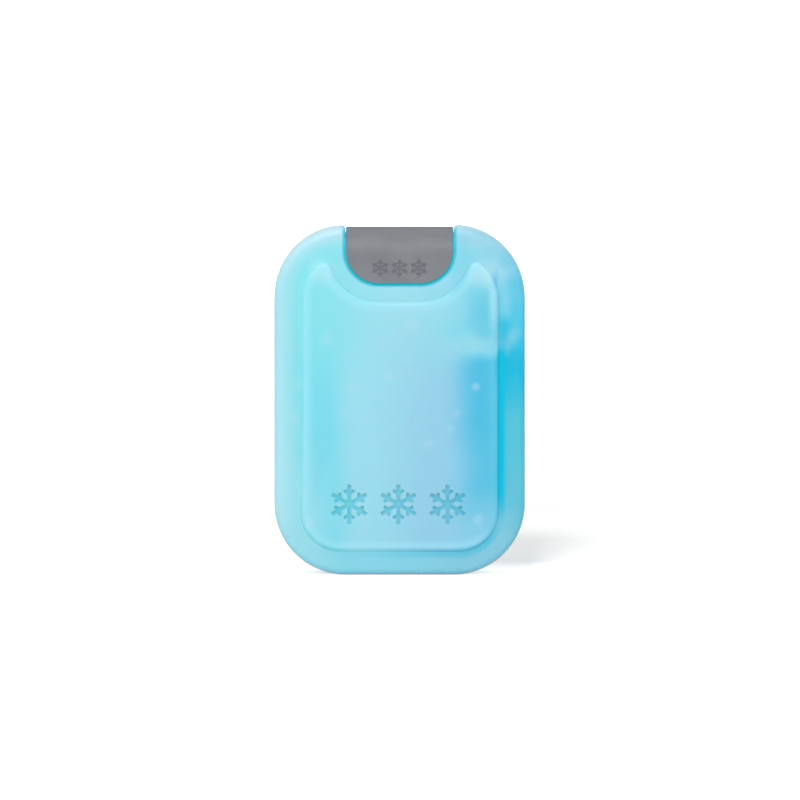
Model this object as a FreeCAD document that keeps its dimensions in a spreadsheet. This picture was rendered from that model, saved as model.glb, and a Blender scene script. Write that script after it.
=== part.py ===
import FreeCAD, Part
import math
import os
import Sketcher

# A small reusable ice pack: a hollow moulded shell, the gel that fills it, the
# plug that closes its fill port, and a saddle-shaped cap over the top centre.
# X runs across the pack, Y through its thickness with the front at -Y, and Z
# up. The origin is on the ground, under the middle of the bottom edge.

DIMENSIONS = {
    # The rounded oblong that both faces share.
    "width": 109.7,
    "height": 152.4,
    "corner_radius": 31.2,
    "border_half": 11.6,
    "edge_round": 3.0,
    # The raised panel. Its margins run from the oblong to the foot of its step.
    "panel_rise": 1.4,
    "panel_side_margin": 11.4,
    "panel_bottom_margin": 10.5,
    "panel_top_margin": 12.0,
    "panel_bottom_radius": 17.4,
    "panel_top_radius": 18.7,
    "peak_radius": 4.1,
    "step_slope": 58.0,
    "step_straight": 0.1,
    "step_foot_round": 0.5,
    # The saddle cap. Its lower corners set the recess and the panel's dip.
    "cap_drop": 0.25,
    "cap_height": 24.3,
    "cap_half_width": 23.5,
    "cap_corner": 14.4,
    "cap_proud": 0.1,
    "cap_wall": 2.2,
    "cap_edge_round": 0.5,
    "cap_gap": 0.2,
    "seat_gap": 0.15,
    "lip_land": 0.25,
    "dip_margin": 7.6,
    # The bead inside each tongue of the cap, and the groove that it snaps into.
    "bead_half_length": 12.0,
    "bead_radius": 0.6,
    "bead_rise": 6.1,
    "bead_gap": 0.1,
    # The wall, the gel inside it and the plug in the fill port.
    "wall": 1.6,
    "gel_gap": 0.15,
    "port_radius": 4.0,
    "plug_gap": 0.05,
    "plug_length": 4.6,
    "plug_sink": 0.95,
    "plug_room": 0.25,
    "plug_lead": 0.6,
}

# Places that several pieces share, as expressions on those sizes.
CAP_TOP = "(Sizes.height - Sizes.cap_drop)"
CAP_BOTTOM = "(Sizes.height - Sizes.cap_drop - Sizes.cap_height)"
CAP_HALF = "(Sizes.border_half + Sizes.cap_proud)"
CAP_INNER_HALF = "(Sizes.border_half + Sizes.cap_proud - Sizes.cap_wall)"
CAP_SPRING = f"({CAP_TOP} - {CAP_HALF})"
CAP_CORNER_ACROSS = "(Sizes.cap_half_width - Sizes.cap_corner)"
CAP_CORNER_UP = f"({CAP_BOTTOM} + Sizes.cap_corner)"
SEAT_HALF = f"({CAP_INNER_HALF} - Sizes.seat_gap)"
SEAT_TOP = f"({CAP_SPRING} + {SEAT_HALF})"
PLUG_TOP = f"({SEAT_TOP} - Sizes.plug_sink)"
LIP_ROUND = f"(Sizes.border_half - {SEAT_HALF} - Sizes.lip_land)"
PANEL_HALF = "(Sizes.width / 2 - Sizes.panel_side_margin)"
PANEL_TOP_CENTER = "(Sizes.height - Sizes.panel_top_margin - Sizes.panel_top_radius)"
# The step's slope is shared by its straight middle and its two roundings.
STEP_LENGTH = "(Sizes.panel_rise / sin(Sizes.step_slope))"
STEP_ROUNDS = f"({STEP_LENGTH} - Sizes.step_straight) / tan(Sizes.step_slope / 2)"
STEP_TOP_ROUND = f"({STEP_ROUNDS} - Sizes.step_foot_round)"

ORIGIN = -1
UPRIGHT_AXIS = -2
START, END, CENTER = 1, 2, 3
EDGE_TOLERANCE = 0.02
EDGE_SAMPLES = (0.05, 0.5, 0.95)

doc = FreeCAD.newDocument("IcePack")
sheet = doc.addObject("Spreadsheet::Sheet", "Sizes")
for row, (alias, number) in enumerate(DIMENSIONS.items(), start=1):
    sheet.set(f"A{row}", alias)
    sheet.set(f"B{row}", str(number))
    sheet.setAlias(f"B{row}", alias)
doc.recompute()


def worth(text):
    """The number that an expression on the sheet comes to."""
    return float(sheet.evalExpression(text))


def plane(body, role):
    """One of a body's own origin planes."""
    return next(item for item in body.Origin.OriginFeatures if item.Role == role)


def flat_sketch(body, name, role, offset=None):
    """A sketch on an origin plane, moved along the plane's normal by offset."""
    sketch = body.newObject("Sketcher::SketchObject", name)
    sketch.AttachmentSupport = [(plane(body, role), "")]
    sketch.MapMode = "FlatFace"
    if offset is not None:
        sketch.setExpression("AttachmentOffset.Base.z", offset)
    return sketch


def line(start, end):
    return Part.LineSegment(FreeCAD.Vector(*start, 0), FreeCAD.Vector(*end, 0))


def circle(center, radius):
    return Part.Circle(FreeCAD.Vector(*center, 0), FreeCAD.Vector(0, 0, 1), radius)


def arc(center, radius, start, end):
    """An arc drawn anticlockwise from start to end, both in degrees."""
    return Part.ArcOfCircle(circle(center, radius), math.radians(start), math.radians(end))


def tie(sketch, kind, *numbers):
    return sketch.addConstraint(Sketcher.Constraint(kind, *numbers))


def drive(sketch, kind, ends, text):
    """A measured constraint that follows an expression on the sheet."""
    index = tie(sketch, kind, *ends, worth(text))
    sketch.setExpression(f"Constraints[{index}]", text)


def center_at(sketch, item, across=None, up=None, leftward=False):
    """Hold an arc's centre at a distance beside and above the origin."""
    if across and leftward:
        drive(sketch, "DistanceX", (item, CENTER, ORIGIN, START), across)
    elif across:
        drive(sketch, "DistanceX", (ORIGIN, START, item, CENTER), across)
    if up:
        drive(sketch, "DistanceY", (ORIGIN, START, item, CENTER), up)


def join_smoothly(sketch, joints):
    """Make each pair of neighbouring ends meet and run on in one direction."""
    for first, first_end, second, second_end in joints:
        tie(sketch, "Tangent", first, first_end, second, second_end)


def oblong_outline(sketch, inset):
    """The rounded oblong of the whole pack, drawn smaller by the inset."""
    half = worth(f"Sizes.width / 2 - {inset}")
    bottom = worth(inset)
    top = worth(f"Sizes.height - {inset}")
    radius = worth(f"Sizes.corner_radius - {inset}")
    side = half - radius
    low = bottom + radius
    high = top - radius
    for item in (
        line((-side, bottom), (side, bottom)),
        arc((side, low), radius, 270, 360),
        line((half, low), (half, high)),
        arc((side, high), radius, 0, 90),
        line((side, top), (-side, top)),
        arc((-side, high), radius, 90, 180),
        line((-half, high), (-half, low)),
        arc((-side, low), radius, 180, 270),
    ):
        sketch.addGeometry(item)
    count = sketch.GeometryCount
    join_smoothly(sketch, [(item, END, (item + 1) % count, START) for item in range(count)])
    for item in (0, 4):
        tie(sketch, "Horizontal", item)
    for item in (2, 6):
        tie(sketch, "Vertical", item)
    for item in (3, 5, 7):
        tie(sketch, "Equal", 1, item)
    drive(sketch, "Radius", (1,), f"Sizes.corner_radius - {inset}")
    side_text = "Sizes.width / 2 - Sizes.corner_radius"
    center_at(sketch, 1, side_text, "Sizes.corner_radius")
    center_at(sketch, 5, side_text, "Sizes.height - Sizes.corner_radius", leftward=True)


def peak_center(corner, dip):
    """The centre of the small arc between a top corner and the dip.

    It lies inside the corner's arc and outside the dip's, touching both.
    """
    to_corner = worth("Sizes.panel_top_radius - Sizes.peak_radius")
    to_dip = worth("Sizes.cap_corner + Sizes.dip_margin + Sizes.peak_radius")
    apart = math.dist(corner, dip)
    along = (to_corner**2 - to_dip**2 + apart**2) / (2 * apart)
    aside = math.sqrt(to_corner**2 - along**2)
    step_x = (dip[0] - corner[0]) / apart
    step_y = (dip[1] - corner[1]) / apart
    return (
        corner[0] + along * step_x + aside * step_y,
        corner[1] + along * step_y - aside * step_x,
    )


def bearing(origin, target):
    """The direction in degrees from one point to another."""
    return math.degrees(math.atan2(target[1] - origin[1], target[0] - origin[0]))


def panel_outline(sketch, inset):
    """The foot of the raised panel: four corners and a dip around the cap."""
    half = worth(f"{PANEL_HALF} - {inset}")
    bottom = worth(f"Sizes.panel_bottom_margin + {inset}")
    low_radius = worth(f"Sizes.panel_bottom_radius - {inset}")
    top_radius = worth(f"Sizes.panel_top_radius - {inset}")
    peak_radius = worth(f"Sizes.peak_radius - {inset}")
    dip_radius = worth(f"Sizes.cap_corner + Sizes.dip_margin + {inset}")
    low = (half - low_radius, bottom + low_radius)
    top = (half - top_radius, worth(PANEL_TOP_CENTER))
    dip = (worth(CAP_CORNER_ACROSS), worth(CAP_CORNER_UP))
    peak = peak_center(top, dip)
    to_peak = bearing(top, peak)
    to_dip = bearing(peak, dip)
    dip_floor = dip[1] - dip_radius
    for item in (
        line((-low[0], bottom), (low[0], bottom)),
        arc(low, low_radius, 270, 360),
        line((half, low[1]), (half, top[1])),
        arc(top, top_radius, 0, to_peak),
        arc(peak, peak_radius, to_peak, to_dip),
        arc(dip, dip_radius, 270, to_dip + 180),
        line((dip[0], dip_floor), (-dip[0], dip_floor)),
        arc((-dip[0], dip[1]), dip_radius, 360 - to_dip, 270),
        arc((-peak[0], peak[1]), peak_radius, 180 - to_dip, 180 - to_peak),
        arc((-top[0], top[1]), top_radius, 180 - to_peak, 180),
        line((-half, top[1]), (-half, low[1])),
        arc((-low[0], low[1]), low_radius, 180, 270),
    ):
        sketch.addGeometry(item)
    join_smoothly(
        sketch,
        [
            (0, END, 1, START),
            (1, END, 2, START),
            (2, END, 3, START),
            (3, END, 4, START),
            (4, END, 5, END),
            (5, START, 6, START),
            (6, END, 7, END),
            (7, START, 8, START),
            (8, END, 9, START),
            (9, END, 10, START),
            (10, END, 11, START),
            (11, END, 0, START),
        ],
    )
    for item in (0, 6):
        tie(sketch, "Horizontal", item)
    for item in (2, 10):
        tie(sketch, "Vertical", item)
    for right, left in ((1, 11), (3, 9), (4, 8), (5, 7)):
        tie(sketch, "Equal", right, left)
    drive(sketch, "Radius", (1,), f"Sizes.panel_bottom_radius - {inset}")
    drive(sketch, "Radius", (3,), f"Sizes.panel_top_radius - {inset}")
    drive(sketch, "Radius", (4,), f"Sizes.peak_radius - {inset}")
    drive(sketch, "Radius", (5,), f"Sizes.cap_corner + Sizes.dip_margin + {inset}")
    low_across = f"{PANEL_HALF} - Sizes.panel_bottom_radius"
    low_up = "Sizes.panel_bottom_margin + Sizes.panel_bottom_radius"
    center_at(sketch, 1, low_across, low_up)
    center_at(sketch, 11, low_across, leftward=True)
    center_at(sketch, 3, up=PANEL_TOP_CENTER)
    center_at(sketch, 9, up=PANEL_TOP_CENTER)
    center_at(sketch, 5, CAP_CORNER_ACROSS, CAP_CORNER_UP)
    center_at(sketch, 7, CAP_CORNER_ACROSS, leftward=True)


def notch_outline(sketch, margin):
    """The cap's outline grown by the margin, and open above the pack's top."""
    half = worth(f"Sizes.cap_half_width + {margin}")
    radius = worth(f"Sizes.cap_corner + {margin}")
    side = half - radius
    low = worth(CAP_CORNER_UP)
    bottom = low - radius
    high = worth(f"Sizes.height + {margin}")
    for item in (
        line((-side, bottom), (side, bottom)),
        arc((side, low), radius, 270, 360),
        line((half, low), (half, high)),
        line((half, high), (-half, high)),
        line((-half, high), (-half, low)),
        arc((-side, low), radius, 180, 270),
    ):
        sketch.addGeometry(item)
    join_smoothly(
        sketch,
        [
            (0, END, 1, START),
            (1, END, 2, START),
            (4, END, 5, START),
            (5, END, 0, START),
        ],
    )
    tie(sketch, "Coincident", 2, END, 3, START)
    tie(sketch, "Coincident", 3, END, 4, START)
    for item in (0, 3):
        tie(sketch, "Horizontal", item)
    for item in (2, 4):
        tie(sketch, "Vertical", item)
    tie(sketch, "Equal", 1, 5)
    drive(sketch, "Radius", (1,), f"Sizes.cap_corner + {margin}")
    center_at(sketch, 1, CAP_CORNER_ACROSS, CAP_CORNER_UP)
    center_at(sketch, 5, CAP_CORNER_ACROSS, leftward=True)
    drive(sketch, "DistanceY", (ORIGIN, START, 3, START), f"Sizes.height + {margin}")


def arch_outline(sketch, half, bottom):
    """A flat tongue with a fully rounded top, seen from the side."""
    radius = worth(half)
    spring = worth(CAP_SPRING)
    foot = worth(bottom)
    for item in (
        line((-radius, foot), (radius, foot)),
        line((radius, foot), (radius, spring)),
        arc((0, spring), radius, 0, 180),
        line((-radius, spring), (-radius, foot)),
    ):
        sketch.addGeometry(item)
    tie(sketch, "Coincident", 0, END, 1, START)
    tie(sketch, "Coincident", 3, END, 0, START)
    join_smoothly(sketch, [(1, END, 2, START), (2, END, 3, START)])
    tie(sketch, "Horizontal", 0)
    tie(sketch, "Vertical", 1)
    tie(sketch, "Vertical", 3)
    tie(sketch, "PointOnObject", 2, CENTER, UPRIGHT_AXIS)
    drive(sketch, "Radius", (2,), half)
    center_at(sketch, 2, up=CAP_SPRING)
    drive(sketch, "DistanceY", (ORIGIN, START, 0, START), bottom)


def extrude(body, name, profile, length, middle=False, kind="PartDesign::Pad"):
    """Add or cut the profile by the length, or by half of it on each side."""
    before = body.Tip.Shape.Volume if body.Tip else 0.0
    feature = body.newObject(kind, name)
    feature.Profile = profile
    if middle:
        feature.SideType = "Symmetric"
    feature.setExpression("Length", length)
    body.Tip = feature
    doc.recompute()
    grown = feature.Shape.Volume - before
    if grown == 0 or (grown > 0) != (kind == "PartDesign::Pad"):
        raise RuntimeError(f"{name} changed the solid's volume by {grown:.2f} mm3")
    return feature


def cut(body, name, profile, length, middle=False):
    return extrude(body, name, profile, length, middle, "PartDesign::Pocket")


def edges_where(feature, test):
    """Names of the edges whose ends and middle all pass the test."""
    names = []
    for index, edge in enumerate(feature.Shape.Edges, start=1):
        first, last = edge.ParameterRange
        spots = [edge.valueAt(first + (last - first) * share) for share in EDGE_SAMPLES]
        if all(test(spot) for spot in spots):
            names.append(f"Edge{index}")
    return names


def round_edges(body, name, test, radius):
    """Round the chosen edges of the body's newest feature."""
    base = body.Tip
    feature = body.newObject("PartDesign::Fillet", name)
    feature.Base = (base, edges_where(base, test))
    feature.setExpression("Radius", radius)
    body.Tip = feature
    doc.recompute()


def near(first, second):
    return abs(first - second) < EDGE_TOLERANCE


def cap_distance(x, z):
    """How far a point of the front view lies outside the cap's outline."""
    side = worth(CAP_CORNER_ACROSS)
    center = worth(CAP_CORNER_UP)
    if z >= center:
        return abs(x) - worth("Sizes.cap_half_width")
    if abs(x) <= side:
        return worth(CAP_BOTTOM) - z
    return math.hypot(abs(x) - side, z - center) - worth("Sizes.cap_corner")


def oblong_depth(x, z):
    """How far a point of the front view lies inside the pack's outline."""
    radius = worth("Sizes.corner_radius")
    middle = worth("Sizes.height") / 2
    across = abs(x) - worth("Sizes.width") / 2 + radius
    up = abs(z - middle) - middle + radius
    outside = math.hypot(max(across, 0), max(up, 0)) + min(max(across, up), 0)
    return radius - outside


def pack_form(name, inset):
    """The whole pack's form, drawn smaller by the inset on every side.

    The same steps make the outside, the hollow and the gel, so that the wall
    follows every panel, step, dip and recess at one thickness.
    """
    body = doc.addObject("PartDesign::Body", name)
    outline = flat_sketch(body, f"{name}Outline", "XZ_Plane")
    oblong_outline(outline, inset)
    extrude(body, f"{name}Border", outline, f"2 * (Sizes.border_half - {inset})", middle=True)
    border = worth(f"Sizes.border_half - {inset}")
    edge_round = f"Sizes.edge_round - {inset} / 2"
    round_edges(body, f"{name}EdgeRound", lambda spot: near(abs(spot.y), border), edge_round)

    # Where a sloping step is moved in by the wall, its foot moves by less.
    step = flat_sketch(body, f"{name}PanelFoot", "XZ_Plane", f"Sizes.border_half - {inset}")
    panel_outline(step, f"{inset} * tan(Sizes.step_slope / 2)")
    panel = extrude(body, f"{name}Panel", step, "Sizes.panel_rise")
    panel.setExpression("TaperAngle", "Sizes.step_slope - 90")
    doc.recompute()
    mirror = body.newObject("PartDesign::Mirrored", f"{name}PanelBack")
    mirror.Originals = [panel]
    mirror.MirrorPlane = (plane(body, "XZ_Plane"), [""])
    body.Tip = mirror
    doc.recompute()
    crown = border + worth("Sizes.panel_rise")
    round_edges(
        body,
        f"{name}StepTop",
        lambda spot: near(abs(spot.y), crown),
        f"{STEP_TOP_ROUND} - {inset}",
    )
    rim = worth(f"{inset} + {edge_round}")
    round_edges(
        body,
        f"{name}StepFoot",
        lambda spot: near(abs(spot.y), border)
        and oblong_depth(spot.x, spot.z) > rim + EDGE_TOLERANCE,
        f"Sizes.step_foot_round + {inset}",
    )

    # The recess is cut right through and its thin middle put back, with a
    # rounded top for the cap to ride over.
    margin = f"(Sizes.cap_gap + {inset})"
    notch = flat_sketch(body, f"{name}Notch", "XZ_Plane")
    notch_outline(notch, margin)
    through = "4 * (Sizes.border_half + Sizes.panel_rise)"
    cut(body, f"{name}Recess", notch, through, middle=True)
    tongue = flat_sketch(body, f"{name}Tongue", "YZ_Plane")
    arch_outline(tongue, f"{SEAT_HALF} - {inset}", f"{CAP_BOTTOM} - 2 * {margin}")
    width = f"2 * (Sizes.cap_half_width + 2 * {margin})"
    extrude(body, f"{name}Saddle", tongue, width, middle=True)
    return body


def round_lip(body):
    """Round the rim of the recess, over the front, the top and the back."""
    border = worth("Sizes.border_half")
    gap = worth("Sizes.cap_gap")
    rim = worth("Sizes.edge_round") + EDGE_TOLERANCE
    round_edges(
        body,
        "LipRound",
        lambda spot: near(cap_distance(spot.x, spot.z), gap)
        and (near(abs(spot.y), border) or oblong_depth(spot.x, spot.z) < rim),
        LIP_ROUND,
    )


def cut_port(body, name, radius):
    """Cut the round fill port down through the top of the saddle."""
    ring = flat_sketch(body, f"{name}Ring", "XY_Plane", CAP_TOP)
    ring.addGeometry(circle((0, 0), worth(radius)))
    tie(ring, "Coincident", 0, CENTER, ORIGIN, START)
    drive(ring, "Radius", (0,), radius)
    cut(body, name, ring, f"{CAP_TOP} - {PLUG_TOP} + Sizes.plug_length + Sizes.plug_room")


def bead_circles(body, name, radius):
    """Two small circles on the cap's inner faces, seen from the side."""
    beads = flat_sketch(body, name, "YZ_Plane")
    level = f"{CAP_BOTTOM} + Sizes.bead_rise"
    for item, side in ((0, 1), (1, -1)):
        center = (side * worth(CAP_INNER_HALF), worth(level))
        beads.addGeometry(circle(center, worth(radius)))
        drive(beads, "Radius", (item,), radius)
        center_at(beads, item, CAP_INNER_HALF, level, leftward=side < 0)
    return beads


def make_shell():
    """The hollow wall: the outside form, less the same form drawn smaller."""
    outside = pack_form("shell_outside", "0")
    round_lip(outside)
    grooves = bead_circles(outside, "GrooveEnds", "Sizes.bead_radius + Sizes.bead_gap")
    groove_length = "2 * (Sizes.bead_half_length + Sizes.bead_gap)"
    cut(outside, "Grooves", grooves, groove_length, middle=True)
    cut_port(outside, "Port", "Sizes.port_radius")
    shell = doc.addObject("Part::Cut", "shell")
    shell.Base = outside
    shell.Tool = pack_form("hollow", "Sizes.wall")
    doc.recompute()
    return shell


def make_coolant():
    """The gel, which fills the hollow but for a hair's breadth all round."""
    gel = pack_form("coolant", "(Sizes.wall + Sizes.gel_gap)")
    cut_port(gel, "PlugRoom", "Sizes.port_radius + Sizes.gel_gap")
    return gel


def make_fill_plug():
    """A short round plug with a tapered lead, sunk in the saddle's top."""
    plug = doc.addObject("PartDesign::Body", "fill_plug")
    disc = flat_sketch(plug, "PlugDisc", "XY_Plane", f"{PLUG_TOP} - Sizes.plug_length")
    radius = "Sizes.port_radius - Sizes.plug_gap"
    disc.addGeometry(circle((0, 0), worth(radius)))
    tie(disc, "Coincident", 0, CENTER, ORIGIN, START)
    drive(disc, "Radius", (0,), radius)
    shank = extrude(plug, "PlugShank", disc, "Sizes.plug_length")
    low = worth(f"{PLUG_TOP} - Sizes.plug_length")
    lead = plug.newObject("PartDesign::Chamfer", "PlugLead")
    lead.Base = (shank, edges_where(shank, lambda spot: near(spot.z, low)))
    lead.setExpression("Size", "Sizes.plug_lead")
    plug.Tip = lead
    doc.recompute()
    return plug


def on_cap_rim(spot):
    """Whether a point is on the outer rim of the cap."""
    spring = worth(CAP_SPRING)
    outward = abs(spot.y) if spot.z < spring else math.hypot(spot.y, spot.z - spring)
    return near(outward, worth(CAP_HALF)) and near(cap_distance(spot.x, spot.z), 0)


def make_cap():
    """The saddle cap: a front tongue, a rounded bridge and a back tongue."""
    cap = doc.addObject("PartDesign::Body", "cap")
    outer = flat_sketch(cap, "CapOuter", "YZ_Plane")
    arch_outline(outer, CAP_HALF, CAP_BOTTOM)
    extrude(cap, "CapBlock", outer, "2 * Sizes.cap_half_width", middle=True)
    inner = flat_sketch(cap, "CapInner", "YZ_Plane")
    arch_outline(inner, CAP_INNER_HALF, f"{CAP_BOTTOM} - Sizes.cap_corner")
    cut(cap, "CapInside", inner, "4 * Sizes.cap_half_width", middle=True)
    corner = (worth("Sizes.cap_half_width"), worth(CAP_BOTTOM))
    round_edges(
        cap,
        "CapCorners",
        lambda spot: near(math.dist((abs(spot.x), spot.z), corner), 0),
        "Sizes.cap_corner",
    )
    round_edges(cap, "CapEdgeRound", on_cap_rim, "Sizes.cap_edge_round")
    beads = bead_circles(cap, "BeadEnds", "Sizes.bead_radius")
    extrude(cap, "Beads", beads, "2 * Sizes.bead_half_length", middle=True)
    return cap


def check_document():
    """Stop if any step of the document failed."""
    for item in doc.Objects:
        if "Invalid" in item.State or "Error" in item.State:
            raise RuntimeError(f"{item.Name}: {item.getStatusString()}")


pieces = [make_shell(), make_coolant(), make_fill_plug(), make_cap()]
check_document()
os.makedirs("parts", exist_ok=True)
for piece in pieces:
    shape = piece.Shape
    if shape.isNull() or not shape.isValid() or len(shape.Solids) != 1:
        raise RuntimeError(f"{piece.Label} isn't one sound solid")
    shape.exportStep(f"parts/{piece.Label}.step")
    print(f"{piece.Label}: {shape.Volume / 1000:.2f} cm3, {len(shape.Faces)} faces")
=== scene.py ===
# %% [markdown]
# # A frosted ice pack with a grey saddle cap
#
# This file dresses a small reusable ice pack. Its solids come from the packed
# CAD model, which gives every piece its place and size in metres. Here they
# get their finish: a cloudy light blue shell, a matte grey cap, snowflakes
# sunk into both, a white floor and soft light.
#
# The first cell loads the solids.

# %% Load the solids
import math

import bmesh
import bpy
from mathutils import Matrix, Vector


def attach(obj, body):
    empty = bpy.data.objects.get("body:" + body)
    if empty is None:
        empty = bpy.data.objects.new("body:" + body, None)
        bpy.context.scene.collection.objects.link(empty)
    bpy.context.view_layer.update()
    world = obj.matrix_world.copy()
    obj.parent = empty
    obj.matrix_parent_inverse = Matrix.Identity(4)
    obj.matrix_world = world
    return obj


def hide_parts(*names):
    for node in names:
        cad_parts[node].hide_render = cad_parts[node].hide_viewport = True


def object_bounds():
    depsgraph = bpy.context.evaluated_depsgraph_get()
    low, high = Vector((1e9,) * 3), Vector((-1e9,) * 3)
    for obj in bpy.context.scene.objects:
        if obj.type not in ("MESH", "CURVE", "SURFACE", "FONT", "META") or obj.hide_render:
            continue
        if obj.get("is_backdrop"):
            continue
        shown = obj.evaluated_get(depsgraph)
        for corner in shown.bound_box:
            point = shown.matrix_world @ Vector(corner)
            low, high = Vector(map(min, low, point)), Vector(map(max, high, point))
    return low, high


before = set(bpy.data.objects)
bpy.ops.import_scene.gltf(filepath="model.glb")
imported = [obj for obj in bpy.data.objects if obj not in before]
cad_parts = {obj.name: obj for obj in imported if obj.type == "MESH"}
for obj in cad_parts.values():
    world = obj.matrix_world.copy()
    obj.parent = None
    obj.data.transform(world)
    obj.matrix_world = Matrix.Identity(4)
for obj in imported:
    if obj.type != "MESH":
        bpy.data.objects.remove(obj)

MM = 0.001
MM_IN_METRE = 1000.0
cad_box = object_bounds()
print("solids:", ", ".join(sorted(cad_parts)))

# %% [markdown]
# ## From light to colours
#
# View Transform turns the light of the scene into the colours of the picture.
# Standard shows a colour about as it is written, which suits a plain product
# picture on white.

# %% Colour management
scene = bpy.context.scene
scene.view_settings.view_transform = "Standard"


def linear(red, green, blue):
    """A colour as painting programs write it (0-255), for a shader socket."""
    made = []
    for part in (red, green, blue):
        part /= 255
        made.append(part / 12.92 if part <= 0.04045 else ((part + 0.055) / 1.055) ** 2.4)
    return (*made, 1.0)


print("view transform:", scene.view_settings.view_transform)

# %% [markdown]
# ## The camera
#
# Product pictures of flat things are taken from far away with a long lens, so
# that the sides stay parallel. The camera stands six metres in front and looks
# down by five degrees. Its lens is worked out from how many millimetres the
# picture shows from side to side.

# %% Camera
PICTURE_WIDTH = 350.6 * MM
CAMERA_DISTANCE = 6.0
CAMERA_TILT = math.radians(5)
AIM = Vector((0.2 * MM, 0.0, 76 * MM))

camera_data = bpy.data.cameras.new("camera")
camera_data.sensor_width = 36
camera_data.lens = camera_data.sensor_width * CAMERA_DISTANCE / PICTURE_WIDTH
camera = bpy.data.objects.new("camera", camera_data)
toward_camera = Vector((0, -math.cos(CAMERA_TILT), math.sin(CAMERA_TILT)))
camera.location = AIM + toward_camera * CAMERA_DISTANCE
camera.rotation_euler = (math.radians(90) - CAMERA_TILT, 0, 0)
scene.collection.objects.link(camera)
scene.camera = camera
print(f"lens {camera_data.lens:.0f} mm for a view {PICTURE_WIDTH * MM_IN_METRE:.0f} mm wide")

# %% [markdown]
# ## The light
#
# The shadow lies behind the right side and is about as deep as the pack is
# tall, so the key lamp stands in front, a little to the left, and nearly
# halfway up to overhead. Its size sets how soft the shadow is, and the world
# fills in from all round. A place is easier to judge as two angles and a
# distance than as X, Y and Z.

# %% Key lamp


def add_lamp(name, leftward, upward, distance, size, energy):
    """A square lamp that faces the pack, placed by two angles in degrees."""
    side = math.radians(leftward)
    rise = math.radians(upward)
    toward = Vector((-math.sin(side) * math.cos(rise), -math.cos(side) * math.cos(rise), math.sin(rise)))
    lamp_data = bpy.data.lights.new(name, "AREA")
    lamp_data.size = size
    lamp_data.energy = energy
    lamp = bpy.data.objects.new(name, lamp_data)
    lamp.location = AIM + toward * distance
    lamp.rotation_euler = (-toward).to_track_quat("-Z", "Y").to_euler()
    scene.collection.objects.link(lamp)
    print(f"{name}: {leftward} degrees left, {upward} up, {energy} W")


add_lamp("key_lamp", leftward=6, upward=42.5, distance=1.4, size=0.24, energy=10.4)

# %% [markdown]
# ## Small helpers for nodes
#
# The materials use the same few nodes again and again. Each helper makes one
# of them, takes plain numbers or the outputs of other nodes, and returns its
# own output, so that a formula reads as one short line.

# %% Helpers for single nodes


def feed(links, socket, value):
    """Put a number, a vector or a colour into an input, or link an output to it."""
    if isinstance(value, bpy.types.NodeSocket):
        links.new(value, socket)
    else:
        socket.default_value = value


def math_node(nodes, links, operation, *values):
    """A Math node; returns its output."""
    node = nodes.new("ShaderNodeMath")
    node.operation = operation
    for socket, value in zip(node.inputs, values):
        feed(links, socket, value)
    return node.outputs[0]


def vector_math(nodes, links, operation, first, second):
    """A Vector Math node with two inputs; returns its vector."""
    node = nodes.new("ShaderNodeVectorMath")
    node.operation = operation
    feed(links, node.inputs[0], first)
    feed(links, node.inputs["Scale" if operation == "SCALE" else 1], second)
    return node.outputs[0]


def map_range(nodes, links, value, low, high, at_low=0.0, at_high=1.0, smooth=False):
    """A Map Range node that turns low to high into at_low to at_high."""
    node = nodes.new("ShaderNodeMapRange")
    node.interpolation_type = "SMOOTHSTEP" if smooth else "LINEAR"
    names = ("Value", "From Min", "From Max", "To Min", "To Max")
    for name, given in zip(names, (value, low, high, at_low, at_high)):
        feed(links, node.inputs[name], given)
    return node.outputs["Result"]


def noise_texture(nodes, links, position, scale, detail, roughness=0.5):
    """A Noise Texture; returns its outputs."""
    node = nodes.new("ShaderNodeTexNoise")
    links.new(position, node.inputs["Vector"])
    for name, value in (("Scale", scale), ("Detail", detail), ("Roughness", roughness)):
        feed(links, node.inputs[name], value)
    return node.outputs


print("helpers for single nodes ready")

# %% [markdown]
# A mask is a value from 0 to 1 that says how much of something shows. Masks are
# multiplied to narrow them down, and `fade` gives them their soft edges. On a
# thing of this size places read best in millimetres.

# %% Helpers for masks and lengths


def multiply(nodes, links, *values):
    """The product of two or more masks."""
    product = values[0]
    for value in values[1:]:
        product = math_node(nodes, links, "MULTIPLY", product, value)
    return product


def fade(nodes, links, value, full, none):
    """1 at full, easing to 0 at none, whichever of the two is larger."""
    if full < none:
        return map_range(nodes, links, value, full, none, 1.0, 0.0, smooth=True)
    return map_range(nodes, links, value, none, full, 0.0, 1.0, smooth=True)


def in_mm(nodes, links, position, axes):
    """The named axes of a position in metres, each in millimetres."""
    split = nodes.new("ShaderNodeSeparateXYZ")
    links.new(position, split.inputs[0])
    return [math_node(nodes, links, "MULTIPLY", split.outputs[axis], MM_IN_METRE) for axis in axes]


def length_of(nodes, links, across, up):
    """The length of a flat arrow with these two parts."""
    arrow = nodes.new("ShaderNodeCombineXYZ")
    feed(links, arrow.inputs["X"], across)
    feed(links, arrow.inputs["Y"], up)
    length = nodes.new("ShaderNodeVectorMath")
    length.operation = "LENGTH"
    links.new(arrow.outputs[0], length.inputs[0])
    return length.outputs["Value"]


print("helpers for masks ready")

# %% [markdown]
# ## The white world and floor
#
# The background of a product picture is pure white, but a room that bright
# would wash out the pale blue plastic. Light Path tells which ray is looking:
# the camera, mirror reflections and rays through glass get white, and all
# other rays get the calm grey that lights the pack.

# %% World
FILL_LIGHT = 0.58
WHITE = (1, 1, 1, 1)

world = bpy.data.worlds.new("studio")
scene.world = world
world.use_nodes = True
nodes = world.node_tree.nodes
links = world.node_tree.links
nodes.clear()


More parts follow.
